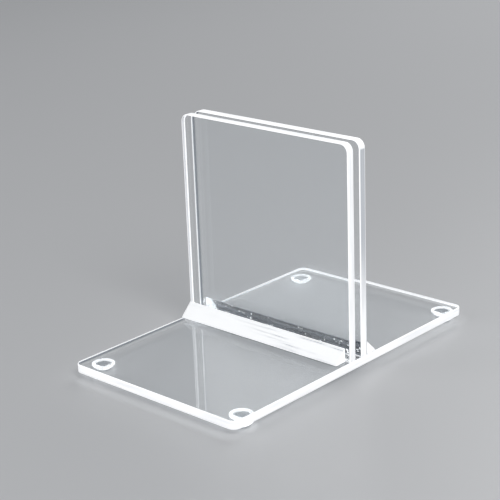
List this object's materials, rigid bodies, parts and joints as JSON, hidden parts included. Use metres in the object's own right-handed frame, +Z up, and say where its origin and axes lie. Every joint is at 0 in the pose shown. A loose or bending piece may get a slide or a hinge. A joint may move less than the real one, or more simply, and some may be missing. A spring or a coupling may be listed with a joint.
{
  "type": "clear acrylic slotted stand",
  "caption": "Clear acrylic stand: a flat base on bumper feet with two upright plates that leave a narrow slot, braced by triangular corner bars.",
  "frame": {"origin": "under the middle of the base, on the surface that the bumper feet stand on", "axes": "+X across the uprights, to the right as seen from the front; +Y along the base, from front to rear; +Z up"},
  "size_m": [0.075, 0.124, 0.0813],
  "materials": {
    "clear_sheet": "polished",
    "clear_bar": "satin",
    "bumper": "gloss",
    "glue": "gloss"
  },
  "bodies": {
    "root": {"base_plate": "clear_sheet", "front_upright": "clear_sheet", "rear_upright": "clear_sheet", "front_corner_bar": "clear_bar", "rear_corner_bar": "clear_bar", "glue_front_upright": "glue", "glue_rear_upright": "glue", "glue_front_bar_base": "glue", "glue_rear_bar_base": "glue", "glue_front_bar_upright": "glue", "glue_rear_bar_upright": "glue", "foot_front_left": "bumper", "foot_front_right": "bumper", "foot_rear_left": "bumper", "foot_rear_right": "bumper", "adhesive_front_left": "glue", "adhesive_front_right": "glue", "adhesive_rear_left": "glue", "adhesive_rear_right": "glue"}
  },
  "joints": []
}
